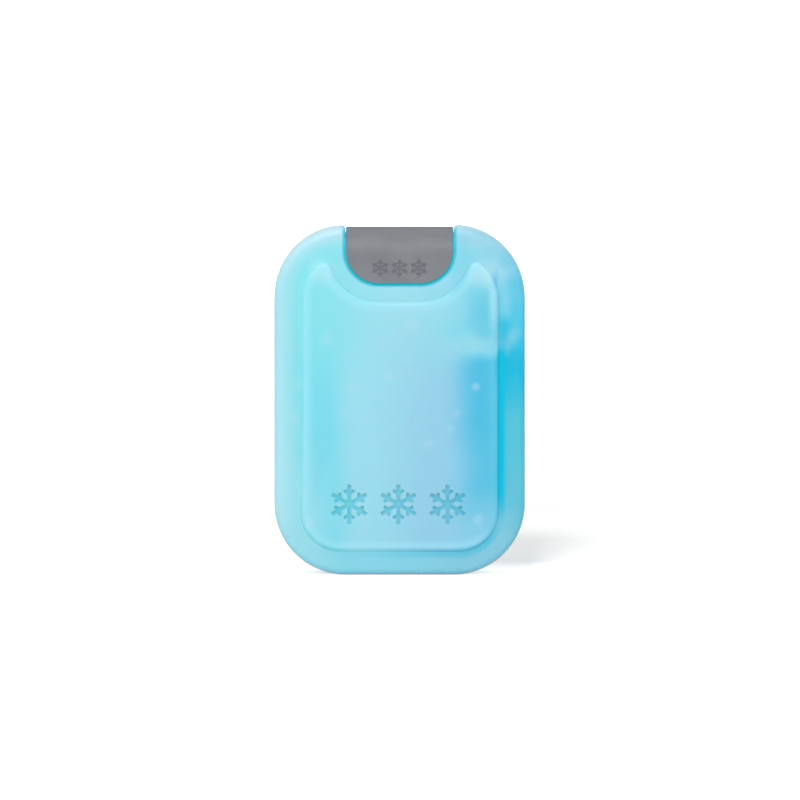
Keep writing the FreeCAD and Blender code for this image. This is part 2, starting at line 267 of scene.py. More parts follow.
def seen_directly(nodes, links):
    """1 for camera, mirror and see-through rays, and 0 for all others."""
    ray = nodes.new("ShaderNodeLightPath").outputs
    seen = math_node(nodes, links, "MAXIMUM", ray["Is Camera Ray"], ray["Is Glossy Ray"])
    return math_node(nodes, links, "MAXIMUM", seen, ray["Is Transmission Ray"])


background = nodes.new("ShaderNodeBackground")
background.inputs["Color"].default_value = WHITE
level = map_range(nodes, links, seen_directly(nodes, links), 0.0, 1.0, FILL_LIGHT, 1.0)
links.new(level, background.inputs["Strength"])
out = nodes.new("ShaderNodeOutputWorld")
links.new(background.outputs[0], out.inputs["Surface"])
print("world: fill", FILL_LIGHT)

# %% [markdown]
# The floor is white paper. Its diffuse part is lit like paper and takes the
# pack's shadow, and a glow that only the camera sees lifts the rest to white.
# The lamp doesn't reach the far floor, so the glow grows with the distance. It is also stronger on the
# left and in front, as painted light that hides the pack's shade on the floor there. Only the corner
# behind the right side keeps its shadow in full.

# %% Floor
FLOOR_SIZE = 12.0
PAPER = (0.85, 0.85, 0.85, 1)
NEAR_GLOW = 0.31
FAR_GLOW = 1.0
LEFT_FRONT_GLOW = 0.35
# Metres on the floor: where the glow grows, and where the dark corner begins.
GLOW_REACH = (0.3, 1.6)
CORNER_X = (-0.03, 0.03)
CORNER_Y = (0.01, 0.05)

floor_mesh = bpy.data.meshes.new("floor")
half = FLOOR_SIZE / 2
corners = [(-half, -half, 0), (half, -half, 0), (half, half, 0), (-half, half, 0)]
floor_mesh.from_pydata(corners, [], [(0, 1, 2, 3)])
floor = bpy.data.objects.new("floor", floor_mesh)
scene.collection.objects.link(floor)
floor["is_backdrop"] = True

paper = bpy.data.materials.new("white_paper")
paper.use_nodes = True
nodes = paper.node_tree.nodes
links = paper.node_tree.links
sheet = nodes["Principled BSDF"]
sheet.inputs["Base Color"].default_value = PAPER
sheet.inputs["Roughness"].default_value = 0.9
sheet.inputs["Specular IOR Level"].default_value = 0.0
sheet.inputs["Emission Color"].default_value = WHITE
place = nodes.new("ShaderNodeTexCoord").outputs["Object"]
away = nodes.new("ShaderNodeVectorMath")
away.operation = "LENGTH"
links.new(place, away.inputs[0])
grow = map_range(nodes, links, away.outputs["Value"], *GLOW_REACH, NEAR_GLOW, FAR_GLOW)
axis = nodes.new("ShaderNodeSeparateXYZ")
links.new(place, axis.inputs[0])
to_right = map_range(nodes, links, axis.outputs["X"], *CORNER_X)
to_back = map_range(nodes, links, axis.outputs["Y"], *CORNER_Y)
# Painted light: extra glow on the left and in front lifts the pack's shade on the floor there.
lift = map_range(nodes, links, multiply(nodes, links, to_right, to_back), 0.0, 1.0, LEFT_FRONT_GLOW, 0.0)
total = math_node(nodes, links, "ADD", grow, lift)
glow = multiply(nodes, links, total, seen_directly(nodes, links))
links.new(glow, sheet.inputs["Emission Strength"])
floor_mesh.materials.append(paper)
print("floor:", FLOOR_SIZE, "m")

# %% [markdown]
# ## Distances on the pack
#
# The colour of the shell changes near its outer edge, near the cap and near
# the foot of the raised panel. All three lines are rounded rectangles, and the
# distance to one takes a few Math nodes. The group below measures a rounded
# rectangle seen from the front, in millimetres: negative inside, zero on the
# line and positive outside.

# %% Group: distance to a rounded rectangle


def group_socket(group, name, kind, way, default=None):
    """A named socket on a node group."""
    made = group.interface.new_socket(name=name, in_out=way, socket_type=kind)
    if default is not None:
        made.default_value = default


def shader_group(name, sizes, results):
    """A group that takes a position and sizes; returns it with its inner ends."""
    group = bpy.data.node_groups.new(name, "ShaderNodeTree")
    group_socket(group, "Object Position", "NodeSocketVector", "INPUT")
    for size, default in sizes.items():
        group_socket(group, size, "NodeSocketFloat", "INPUT", default)
    for result in results:
        group_socket(group, result, "NodeSocketFloat", "OUTPUT")
    start = group.nodes.new("NodeGroupInput").outputs
    end = group.nodes.new("NodeGroupOutput").inputs
    return group, start, end


def rounded_rectangle_group():
    """Distance in millimetres to a rounded rectangle in the front view."""
    sizes = {"Middle Height": 0.0, "Half Width": 1.0, "Half Height": 1.0, "Corner Radius": 0.5}
    group, start, end = shader_group("rounded_rectangle_distance", sizes, ["Distance"])
    nodes = group.nodes
    links = group.links
    x, z = in_mm(nodes, links, start["Object Position"], "XZ")
    across = math_node(nodes, links, "ABSOLUTE", x)
    above_middle = math_node(nodes, links, "SUBTRACT", z, start["Middle Height"])
    up = math_node(nodes, links, "ABSOLUTE", above_middle)
    radius = start["Corner Radius"]
    side = math_node(nodes, links, "SUBTRACT", start["Half Width"], radius)
    top = math_node(nodes, links, "SUBTRACT", start["Half Height"], radius)
    past_side = math_node(nodes, links, "SUBTRACT", across, side)
    past_top = math_node(nodes, links, "SUBTRACT", up, top)
    corner_across = math_node(nodes, links, "MAXIMUM", past_side, 0.0)
    corner_up = math_node(nodes, links, "MAXIMUM", past_top, 0.0)
    outside = length_of(nodes, links, corner_across, corner_up)
    nearest = math_node(nodes, links, "MAXIMUM", past_side, past_top)
    inside = math_node(nodes, links, "MINIMUM", nearest, 0.0)
    reach = math_node(nodes, links, "ADD", outside, inside)
    links.new(math_node(nodes, links, "SUBTRACT", reach, radius), end["Distance"])
    return group


distance_group = rounded_rectangle_group()
print("group:", distance_group.name, "with", len(distance_group.nodes), "nodes")

# %% [markdown]
# ## Moulded grain
#
# Both plastics carry the fine grain of a blasted steel mould. One group makes
# it, with its own size for each material, and gives a height for Bump and a
# slow unevenness for the roughness.

# %% Group: moulded grain


def moulded_grain_group():
    """The height of a fine grain, and a slow unevenness for the roughness."""
    group, start, end = shader_group("moulded_grain", {"Grain Size": 0.3}, ["Height", "Unevenness"])
    nodes = group.nodes
    links = group.links
    position = start["Object Position"]
    fine_scale = math_node(nodes, links, "DIVIDE", MM_IN_METRE, start["Grain Size"])
    fine = noise_texture(nodes, links, position, fine_scale, detail=2.0, roughness=0.6)
    slow = noise_texture(nodes, links, position, scale=60.0, detail=3.0)
    links.new(fine["Fac"], end["Height"])
    links.new(slow["Fac"], end["Unevenness"])
    return group


grain_group = moulded_grain_group()
print("group:", grain_group.name)

# %% [markdown]
# ## Soft patches
#
# Bubbles and milky spots in the gel are round and have no hard edge. This
# group draws one: an oval seen from the front, 1 inside and easing to 0
# around its line. It measures from a point in millimetres, like a pencil
# circle on the pack.

# %% Group: soft patch


def soft_patch_group():
    """An oval in the front view, 1 inside and fading to 0 across its line."""
    sizes = {"Across": 0.0, "Up": 0.0, "Half Width": 1.0, "Half Height": 1.0, "Softness": 0.5}
    group, start, end = shader_group("soft_patch", sizes, ["Amount"])
    nodes = group.nodes
    links = group.links
    x, z = in_mm(nodes, links, start["Object Position"], "XZ")
    across = math_node(nodes, links, "SUBTRACT", x, start["Across"])
    up = math_node(nodes, links, "SUBTRACT", z, start["Up"])
    across_share = math_node(nodes, links, "DIVIDE", across, start["Half Width"])
    up_share = math_node(nodes, links, "DIVIDE", up, start["Half Height"])
    reach = length_of(nodes, links, across_share, up_share)
    full = math_node(nodes, links, "SUBTRACT", 1.0, start["Softness"])
    none = math_node(nodes, links, "ADD", 1.0, start["Softness"])
    amount = map_range(nodes, links, reach, full, none, 1.0, 0.0, smooth=True)
    links.new(amount, end["Amount"])
    return group


patch_group = soft_patch_group()
print("group:", patch_group.name)

# %% [markdown]
# ## Layers of colour
#
# A rich material is built from the broad to the small: first a colour for the
# whole piece, and then one layer after another, each with a mask that says
# where it shows. These helpers make the ramps, the layers and the grain, and
# put the three groups to use.

# %% Helpers for colour layers


def color_ramp(nodes, links, value, stops):
    """A Color Ramp with (place, colour) stops; returns its colour output."""
    ramp = nodes.new("ShaderNodeValToRGB")
    ramp.color_ramp.interpolation = "EASE"
    elements = ramp.color_ramp.elements
    while len(elements) < len(stops):
        elements.new(0.5)
    for element, (place, color) in zip(elements, stops):
        element.position = place
        element.color = color
    links.new(value, ramp.inputs["Fac"])
    return ramp.outputs["Color"]


def mix_color(nodes, links, amount, first, second, blend="MIX"):
    """Mix two colours, each a socket or a colour, by an amount."""
    node = nodes.new("ShaderNodeMix")
    node.data_type = "RGBA"
    node.blend_type = blend
    # On colours this node's factor is input 0, and its two colours are 6 and 7.
    for index, value in ((0, amount), (6, first), (7, second)):
        feed(links, node.inputs[index], value)
    return node.outputs[2]


def use_group(nodes, links, group, position, **sizes):
    """A group node at a position; sizes are named with _ for spaces."""
    node = nodes.new("ShaderNodeGroup")
    node.node_tree = group
    links.new(position, node.inputs["Object Position"])
    for name, value in sizes.items():
        node.inputs[name.replace("_", " ")].default_value = value
    return node.outputs


def outline_distance(nodes, links, position, outline):
    """Millimetres to a rounded rectangle, given as its four sizes."""
    middle, half_width, half_height, radius = outline
    made = use_group(
        nodes,
        links,
        distance_group,
        position,
        Middle_Height=middle,
        Half_Width=half_width,
        Half_Height=half_height,
        Corner_Radius=radius,
    )
    return made["Distance"]


def add_grain(nodes, links, shader, position, size_mm, depth_mm, roughness, spread):
    """Bump and uneven roughness from the moulded grain group."""
    grain = use_group(nodes, links, grain_group, position, Grain_Size=size_mm)
    bump = nodes.new("ShaderNodeBump")
    bump.inputs["Strength"].default_value = 1.0
    bump.inputs["Distance"].default_value = depth_mm * MM
    links.new(grain["Height"], bump.inputs["Height"])
    links.new(bump.outputs["Normal"], shader.inputs["Normal"])
    uneven = map_range(nodes, links, grain["Unevenness"], 0.0, 1.0, roughness - spread, roughness + spread)
    links.new(uneven, shader.inputs["Roughness"])


print("colour helpers ready")

# %% [markdown]
# ## The frosted shell's material
#
# The real wall is milky plastic over a cloudy gel, so light goes in, scatters and comes out a little
# further on. Subsurface does that, and the colour is built in layers, several of which paint light and
# shade into it. Clouds in a gel have no straight edges, so a noise first shifts the position a little, and
# whatever is drawn on it gets wavy lines.

# %% Frosted shell: wavy position
WAVE_SIZE = 7.0
WAVE_SCALE = 38.0

frosted = bpy.data.materials.new("frosted_shell")
frosted.use_nodes = True
nodes = frosted.node_tree.nodes
links = frosted.node_tree.links
shader = nodes["Principled BSDF"]
place = nodes.new("ShaderNodeTexCoord").outputs["Object"]
waves = noise_texture(nodes, links, place, scale=WAVE_SCALE, detail=3.0)
centred = vector_math(nodes, links, "SUBTRACT", waves["Color"], (0.5, 0.5, 0.5))
scaled = vector_math(nodes, links, "SCALE", centred, 2 * WAVE_SIZE * MM)
wavy = vector_math(nodes, links, "ADD", place, scaled)
wavy_x, wavy_z = in_mm(nodes, links, wavy, "XZ")
x_mm, y_mm, z_mm = in_mm(nodes, links, place, "XYZ")
depth_mm = math_node(nodes, links, "ABSOLUTE", y_mm)
print("waves of", WAVE_SIZE, "mm")

# %% [markdown]
# Most masks ask how far a point lies from one of the pack's lines. The panel is
# a rounded rectangle with a dip that runs round the cap, so its distance is the
# larger of two others. Smooth Maximum rounds the peaks where they meet.

# %% Frosted shell: distances to its lines
# Middle height, half width, half height and corner radius in millimetres. The
# cap's rectangle reaches far above the pack, as only its lower end is needed.
CAP_OUTLINE = (167.85, 23.5, 40.0, 14.4)
PACK_OUTLINE = (76.2, 54.85, 76.2, 31.2)
PANEL_OUTLINE = (75.45, 43.45, 64.95, 18.0)
DIP_GAP = 7.6
PEAK_ROUNDING = 3.0

edge_distance = outline_distance(nodes, links, place, PACK_OUTLINE)
cap_distance = outline_distance(nodes, links, place, CAP_OUTLINE)
frame_distance = outline_distance(nodes, links, place, PANEL_OUTLINE)
dip_distance = math_node(nodes, links, "SUBTRACT", DIP_GAP, cap_distance)
panel_distance = math_node(nodes, links, "SMOOTH_MAX", frame_distance, dip_distance, PEAK_ROUNDING)
print("distances to the edge, the cap and the panel")

# %% [markdown]
# The gel has three bands: a milky one at the top, a clear one below it, and a calm one for the border
# along the bottom. Each has its own colours from side to side, which are painted light from the lamp on
# the left: paler on the lit left edge, deeper blue on the shaded right, and a pale painted reflection in
# the middle. The waves move these colours only a little way.

# %% Frosted shell: three bands of gel, with painted side light
HALF_WIDTH = PACK_OUTLINE[1]
WAVE_SHARE = 0.35


def side_light_ramp(nodes, links, stops):
    """A ramp from the pack's left side to its right, for colours with painted side light; places in
    millimetres.
    """
    shares = [((x + HALF_WIDTH) / (2 * HALF_WIDTH), linear(*color)) for x, color in stops]
    return color_ramp(nodes, links, from_left, shares)


wave_part = multiply(nodes, links, wavy_x, WAVE_SHARE)
still_part = multiply(nodes, links, x_mm, 1 - WAVE_SHARE)
soft_x = math_node(nodes, links, "ADD", wave_part, still_part)
from_left_mm = math_node(nodes, links, "ADD", soft_x, HALF_WIDTH)
from_left = math_node(nodes, links, "DIVIDE", from_left_mm, 2 * HALF_WIDTH)
# Painted light and shade in all three: paler on the lit left, deeper blue on the shaded right, a pale
# painted reflection in the middle.
milky = side_light_ramp(
    nodes,
    links,
    [
        (-54, (172, 222, 236)),
        (-42, (138, 222, 234)),
        (2, (160, 217, 233)),
        (34, (133, 210, 230)),
        (50, (92, 197, 222)),
    ],
)
clear = side_light_ramp(
    nodes,
    links,
    [
        (-54, (172, 225, 238)),
        (-42, (129, 218, 233)),
        (-32, (129, 217, 235)),
        (-18, (160, 218, 238)),
        (18, (153, 206, 231)),
        (35, (84, 192, 225)),
        (43, (87, 195, 225)),
        (54, (60, 187, 213)),
    ],
)
calm = side_light_ramp(
    nodes,
    links,
    [
        (-54, (166, 222, 235)),
        (-20, (145, 213, 231)),
        (38, (140, 204, 224)),
        (54, (132, 201, 220)),
    ],
)
print("three bands of gel")

# %% [markdown]
# On the raised panel the milky band ends along a line that is crisp at the
# right and melts away towards the left, so the width of the mask grows there.
# The border on the right has its own order from top to bottom: milk, then a middle blue, then clear gel,
# and its blues are deepened as painted shade, as this side faces away from the lamp.

# %% Frosted shell: where the bands meet
CLOUD_END = 94.0
# Between these two places across the pack the blur goes from wide to narrow.
BLUR_SPAN = (4.0, 38.0)
WIDE_BLUR = 26.0
NARROW_BLUR = 2.4
BORDER_HEIGHT = 152.0
# Each pair below says where a mask is full and where it has gone.
PAST_PANEL = (0.4, -0.6)
ON_RIGHT = (42.0, 28.0)

blur = map_range(nodes, links, x_mm, *BLUR_SPAN, WIDE_BLUR, NARROW_BLUR, smooth=True)
above_line = math_node(nodes, links, "SUBTRACT", wavy_z, CLOUD_END)
cloud = fade(nodes, links, math_node(nodes, links, "DIVIDE", above_line, blur), 1.0, -1.0)
panel_color = mix_color(nodes, links, cloud, clear, milky)

# Clouds and painted shade: the right border's blues are deeper because it faces away from the lamp.
right_border_and_shade = color_ramp(
    nodes,
    links,
    math_node(nodes, links, "DIVIDE", wavy_z, BORDER_HEIGHT),
    [
        (0.12, linear(124, 200, 221)),
        (0.20, linear(104, 197, 218)),
        (0.43, linear(88, 197, 217)),
        (0.58, linear(36, 188, 220)),
        (0.72, linear(86, 199, 227)),
        (0.96, linear(138, 210, 230)),
    ],
)
past_panel = fade(nodes, links, panel_distance, *PAST_PANEL)
on_border = multiply(nodes, links, past_panel, fade(nodes, links, x_mm, *ON_RIGHT))
color = mix_color(nodes, links, on_border, panel_color, right_border_and_shade)
print("cloud ends at", CLOUD_END, "mm")

# %% [markdown]
# Bubbles, milk and clear patches come next, with a few painted highlights and painted shade among them:
# two milky spots are painted highlights on the panel's peaks, and two clear ones deepen the painted shade
# at the panel's right foot. Each is one soft oval, and all of a kind share one tone. The larger ones
# follow the waves, and the small ones don't, so that bubbles stay round.

# %% Frosted shell: milky and clear spots, with painted highlights and shade
# Across and up in millimetres, half width, half height, softness, strength.
MILK_AND_HIGHLIGHT_SPOTS = (
    # The first two are painted highlights on the panel's peaks.
    (-34.6, 133.0, 4.5, 5.5, 0.7, 0.45),
    (34.5, 133.0, 5.0, 5.5, 0.7, 0.55),
    (42.5, 132.5, 6.0, 6.5, 0.8, 0.45),
    (45.3, 99.2, 2.4, 3.0, 0.9, 0.52),
    (48.0, 103.0, 2.4, 3.0, 0.9, 0.26),
    (50.0, 106.0, 2.4, 3.0, 0.9, 0.18),
    (30.0, 99.5, 12.0, 4.5, 0.9, 0.26),
    (-50.0, 40.0, 10.0, 40.0, 0.9, 0.30),
    (-38.0, 28.0, 8.0, 20.0, 0.9, 0.28),
    (34.5, 18.5, 9.5, 12.0, 0.9, 0.40),
    (41.5, 121.0, 1.6, 11.0, 0.9, 0.35),
    (20.0, 118.0, 9.0, 6.0, 0.9, 0.15),
    (29.5, 46.0, 9.0, 15.0, 0.9, 0.13),
    (46.2, 119.5, 2.4, 6.0, 0.9, 0.24),
    (37.0, 145.5, 5.0, 3.5, 0.9, 0.30),
    (20.2, 130.5, 4.0, 3.5, 0.9, 0.25),
    (-21.5, 136.7, 4.0, 3.5, 0.9, 0.20),
    (33.3, 83.0, 1.5, 1.5, 0.9, 0.42),
    (-5.0, 87.2, 1.8, 1.8, 0.7, 0.25),
    (-20.0, 82.8, 2.4, 2.0, 0.8, 0.25),
    (-24.0, 71.0, 1.9, 1.9, 0.8, 0.20),
    (-46.4, 69.0, 2.2, 2.4, 0.8, 0.30),
    (5.6, 110.0, 2.3, 2.0, 0.8, 0.30),
    (22.2, 64.4, 1.7, 1.7, 0.8, 0.22),
    (13.5, 57.4, 2.8, 1.9, 0.8, 0.25),
    (-32.0, 104.0, 2.2, 3.0, 0.8, 0.25),
    (-44.2, 84.0, 1.6, 3.2, 0.8, 0.25),
    (-39.6, 22.8, 1.8, 2.4, 0.7, 0.40),
    (34.4, 24.4, 2.0, 2.2, 0.7, 0.35),
    (24.9, 71.0, 1.6, 1.6, 0.8, 0.20),
)
CLEAR_AND_SHADE_SPOTS = (
    (46.0, 108.0, 3.2, 3.4, 0.9, 0.50),
    (45.3, 104.0, 1.6, 3.6, 0.9, 0.30),
    (48.6, 139.5, 3.4, 5.5, 0.8, 0.40),
    (51.0, 128.0, 4.0, 4.5, 0.7, 0.35),
    # The next two deepen the painted shade at the panel's right foot.
    (46.4, 94.0, 3.4, 8.0, 0.9, 0.60),
    (44.8, 91.0, 2.4, 7.0, 0.6, 0.75),
    (41.9, 129.6, 1.4, 3.6, 0.9, 0.45),
    (-36.4, 45.0, 2.6, 12.0, 0.9, 0.10),
    (51.8, 97.0, 2.4, 6.0, 0.9, 0.35),
    (34.5, 114.0, 4.5, 8.0, 0.9, 0.32),
    (36.0, 104.5, 3.5, 2.6, 0.9, 0.20),
)
MILK_AND_HIGHLIGHT = linear(190, 224, 243)
CLEAR_AND_SHADE = linear(20, 184, 218)
SMALL_SPOT = 2.5

for spots, tone in ((MILK_AND_HIGHLIGHT_SPOTS, MILK_AND_HIGHLIGHT), (CLEAR_AND_SHADE_SPOTS, CLEAR_AND_SHADE)):
    for across, up, half_width, half_height, softness, strength in spots:
        spot = use_group(
            nodes,
            links,
            patch_group,
            wavy if half_width > SMALL_SPOT else place,
            Across=across,
            Up=up,
            Half_Width=half_width,
            Half_Height=half_height,
            Softness=softness,
        )
        color = mix_color(nodes, links, multiply(nodes, links, spot["Amount"], strength), color, tone)
print(len(MILK_AND_HIGHLIGHT_SPOTS), "milky spots and", len(CLEAR_AND_SHADE_SPOTS), "clear ones")

# %% [markdown]
# The last layers follow the shape and paint light and shade. The foot of the raised step gets painted
# shade, deep blue, on the right and along the bottom, and on the left a thin pale painted highlight.
# Each pair of numbers in the next cells says where a mask is full and where it
# has gone, in millimetres.

# %% Frosted shell: calm border, painted shade and highlight at the foot of the step
FOOT_SHADE = linear(0, 192, 224)
FOOT_HIGHLIGHT = linear(150, 240, 248)
CALM_HEIGHT = (8.0, 30.0)
CALM_EDGE = (0.3, -0.3)
FOOT_INSIDE = (-0.3, -1.0)
FOOT_OUTSIDE = (1.4, 3.8)
FOOT_RIGHT = (40.0, 32.0)
FOOT_TOP = (94.0, 102.0)
FOOT_BOTTOM = (38.0, 17.0)
LOW_FOOT_HEIGHT = (14.0, 30.0)
LOW_FOOT_SIDE = (44.0, -40.0)
LOW_FOOT_STRENGTH = 0.5
PAST_DIP = (10.5, 8.5)
PALE_LINE = (0.3, 1.3)
PALE_SIDE = (-20.0, 30.0)
PALE_STRENGTH = 0.35

calm_height = fade(nodes, links, wavy_z, *CALM_HEIGHT)
calm_border = multiply(nodes, links, calm_height, fade(nodes, links, panel_distance, *CALM_EDGE))
color = mix_color(nodes, links, calm_border, color, calm)

foot_inside = fade(nodes, links, panel_distance, *FOOT_INSIDE)
foot_line = multiply(nodes, links, foot_inside, fade(nodes, links, panel_distance, *FOOT_OUTSIDE))
# Painted shade: the foot turns deep blue on the right and along the bottom.
right_foot = multiply(
    nodes,
    links,
    fade(nodes, links, x_mm, *FOOT_RIGHT),
    fade(nodes, links, wavy_z, *FOOT_TOP),
    fade(nodes, links, z_mm, *FOOT_BOTTOM),
)
low_foot = multiply(
    nodes,
    links,
    fade(nodes, links, z_mm, *LOW_FOOT_HEIGHT),
    fade(nodes, links, x_mm, *LOW_FOOT_SIDE),
    LOW_FOOT_STRENGTH,
)
foot_shade_mask = math_node(nodes, links, "MAXIMUM", right_foot, low_foot)
color = mix_color(nodes, links, multiply(nodes, links, foot_line, foot_shade_mask), color, FOOT_SHADE)

past_dip = fade(nodes, links, cap_distance, *PAST_DIP)
# Painted highlight: a thin pale line along the foot, strongest on the left.
pale_line = fade(nodes, links, math_node(nodes, links, "ABSOLUTE", panel_distance), *PALE_LINE)
pale_side = fade(nodes, links, x_mm, *PALE_SIDE)
foot_highlight = multiply(nodes, links, pale_line, pale_side, past_dip, PALE_STRENGTH)
color = mix_color(nodes, links, foot_highlight, color, FOOT_HIGHLIGHT)
print("calm border and foot")

# %% [markdown]
# Where the wall bends outward it gets a pale painted highlight: on the crest just inside the foot, mainly
# on the left, at the top and at the bottom. The pack's rim at the top gets a painted sheen, paler on the
# left. The lip around the cap gets a deeper blue again, as painted shade.

# %% Frosted shell: painted highlights on crest and rim, painted shade in the lip
CREST_HIGHLIGHT = linear(172, 228, 248)
LIP_SHADE = linear(56, 186, 214)
CREST_OUTSIDE = (-2.4, -0.8)
CREST_INSIDE = (-2.4, -6.0)
CREST_LEFT = (-36.0, -10.0)
CREST_TOP = (122.0, 100.0)
CREST_BOTTOM = (14.0, 22.0)
CREST_LEAST = 0.15
CREST_STRENGTH = 0.5
RIM_DEPTH = (0.0, -10.0)
RIM_HEIGHT = (148.0, 118.0)
RIM_RIGHT = (42.0, 10.0)
RIM_STRENGTH = 0.8
RIM_LOSS_RIGHT = 0.2
LIP_WIDTH = (0.5, 2.2)
LIP_STRENGTH = 0.9

# Painted highlight along the crest.
crest_outside = fade(nodes, links, panel_distance, *CREST_OUTSIDE)
crest_line = multiply(nodes, links, crest_outside, fade(nodes, links, panel_distance, *CREST_INSIDE))
crest_side = fade(nodes, links, x_mm, *CREST_LEFT)
for height in (CREST_TOP, CREST_BOTTOM):
    crest_side = math_node(nodes, links, "MAXIMUM", crest_side, fade(nodes, links, z_mm, *height))
crest_side = math_node(nodes, links, "MAXIMUM", crest_side, CREST_LEAST)
crest = multiply(nodes, links, crest_line, crest_side, past_dip, CREST_STRENGTH)
color = mix_color(nodes, links, crest, color, CREST_HIGHLIGHT)

# Painted sheen on the rim at the top, paler on the left and weaker on the right.
rim_loss = multiply(nodes, links, fade(nodes, links, x_mm, *RIM_RIGHT), RIM_LOSS_RIGHT)
rim = multiply(
    nodes,
    links,
    fade(nodes, links, edge_distance, *RIM_DEPTH),
    fade(nodes, links, z_mm, *RIM_HEIGHT),
    math_node(nodes, links, "SUBTRACT", RIM_STRENGTH, rim_loss),
)
rim_sheen_stops = [
    (0.3, linear(198, 222, 238)),
    (0.72, linear(178, 208, 223)),
    (0.9, linear(152, 199, 215)),
]
color = mix_color(nodes, links, rim, color, color_ramp(nodes, links, from_left, rim_sheen_stops))

# Painted shade: a deeper blue in the lip beside the cap.
lip = multiply(nodes, links, fade(nodes, links, cap_distance, *LIP_WIDTH), LIP_STRENGTH)
color = mix_color(nodes, links, lip, color, LIP_SHADE)
print("crest, rim and lip")

# %% [markdown]
# The sunken marks are the last layer of colour. Their floor lies half a
# millimetre below the panel, so a mask on the depth finds it, and a multiply
# makes it a shade deeper than whatever gel colour lies around it.

# %% Frosted shell: sunken floor
SUNK_DEPTH = (12.6, 12.9)
ON_PANEL = (-5.0, -4.0)
SUNK_SHADE = (0.53, 0.90, 0.94, 1)

below_face = fade(nodes, links, depth_mm, *SUNK_DEPTH)
sunk = multiply(nodes, links, below_face, fade(nodes, links, panel_distance, *ON_PANEL))
color = mix_color(nodes, links, sunk, color, SUNK_SHADE, blend="MULTIPLY")
links.new(color, shader.inputs["Base Color"])
print("sunken floor")

# %% [markdown]
# The narrow joint with the cap gets a faint cyan glow from emission: painted light that stands in for
# light passing through the wall. The joint follows the cap over its round back.

# %% Frosted shell: painted glow in the joint
# The cap's back is half round: its radius and the height of its middle.
CAP_ROLL_RADIUS = 11.7
CAP_ROLL_HEIGHT = 140.45
ROLL_FULL = 0.5
ROLL_GONE = 2.0
JOINT_WIDTH = (0.3, 0.9)
JOINT_GLOW = linear(20, 160, 150)

past_middle = math_node(nodes, links, "SUBTRACT", z_mm, CAP_ROLL_HEIGHT)
above_roll = math_node(nodes, links, "MAXIMUM", past_middle, 0.0)
from_roll = length_of(nodes, links, depth_mm, above_roll)
near_cap = fade(nodes, links, from_roll, CAP_ROLL_RADIUS + ROLL_FULL, CAP_ROLL_RADIUS + ROLL_GONE)
joint = multiply(nodes, links, fade(nodes, links, cap_distance, *JOINT_WIDTH), near_cap)
# Painted light: the emission makes the joint glow faint cyan.
shader.inputs["Emission Color"].default_value = JOINT_GLOW
links.new(joint, shader.inputs["Emission Strength"])
print("light in the joint")

# %% [markdown]
# The wall is matt and lets light wander about three millimetres, red less far
# than green and blue. The grain breaks up what it still reflects.

# %% Frosted shell: wall and grain
shader.inputs["Specular IOR Level"].default_value = 0.15
shader.inputs["Subsurface Weight"].default_value = 0.8
shader.inputs["Subsurface Radius"].default_value = (0.35, 0.8, 1.0)
shader.inputs["Subsurface Scale"].default_value = 3 * MM
add_grain(nodes, links, shader, place, size_mm=0.5, depth_mm=0.012, roughness=0.42, spread=0.06)
print("material:", frosted.name, "with", len(nodes), "nodes")

# %% [markdown]
# ## The grey cap's material
#
# The cap is a stiffer, solid grey plastic with a finer grain, so it needs no Subsurface. A slow noise
# keeps the grey from looking like flat paint. On top come painted light and shade: a little blue along its
# outline as painted light bounced from the shell, a painted cyan line where it meets the shell, and
# painted shade along its top.

# %% Material: grey cap
GREY_MOTTLE = [(0.3, linear(117, 119, 124)), (0.7, linear(123, 125, 130))]
# Painted light and shade on the cap: blue bounced from the shell along its outline, the shell's cyan light
# at the joint, and darker shade along its top.
BOUNCE_BLUE_GREY = linear(104, 128, 142)
JOINT_LIGHT_CYAN = linear(40, 160, 186)
SUNK_GREY = linear(104, 107, 112)
TOP_SHADE_GREY = linear(88, 90, 95)
TINT_WIDTH = (0.0, -2.5)
JOINT_LINE = (-0.05, -0.35)
MARK_DEPTH = (11.45, 11.62)
MARK_EDGE = (-3.0, -2.0)
MARK_HEIGHT = (139.0, 140.5)
CAP_TOP = (152.0, 151.4)

grey = bpy.data.materials.new("grey_cap")
grey.use_nodes = True
nodes = grey.node_tree.nodes
links = grey.node_tree.links
shader = nodes["Principled BSDF"]
place = nodes.new("ShaderNodeTexCoord").outputs["Object"]
mottle = noise_texture(nodes, links, place, scale=90.0, detail=4.0)
tone = color_ramp(nodes, links, mottle["Fac"], GREY_MOTTLE)
cap_edge = outline_distance(nodes, links, place, CAP_OUTLINE)
y_mm, height_mm = in_mm(nodes, links, place, "YZ")
depth_mm = math_node(nodes, links, "ABSOLUTE", y_mm)
marks = multiply(
    nodes,
    links,
    fade(nodes, links, depth_mm, *MARK_DEPTH),
    fade(nodes, links, cap_edge, *MARK_EDGE),
    fade(nodes, links, height_mm, *MARK_HEIGHT),
)
for mask, strength, shade in (
    (fade(nodes, links, cap_edge, *TINT_WIDTH), 0.5, BOUNCE_BLUE_GREY),
    (fade(nodes, links, cap_edge, *JOINT_LINE), 0.9, JOINT_LIGHT_CYAN),
    (marks, 0.8, SUNK_GREY),
    (fade(nodes, links, height_mm, *CAP_TOP), 0.6, TOP_SHADE_GREY),
):
    tone = mix_color(nodes, links, multiply(nodes, links, mask, strength), tone, shade)
links.new(tone, shader.inputs["Base Color"])
shader.inputs["Specular IOR Level"].default_value = 0.25
add_grain(nodes, links, shader, place, size_mm=0.3, depth_mm=0.010, roughness=0.55, spread=0.05)
print("material:", grey.name)

# %% [markdown]
# ## The gel and the plug
#
# The gel lies behind the shell, and the plug under the cap. They stay as they
# are in the CAD model and get a simple cloudy finish, so that they look right
# in a cutaway view.

# %% Materials: gel and plug


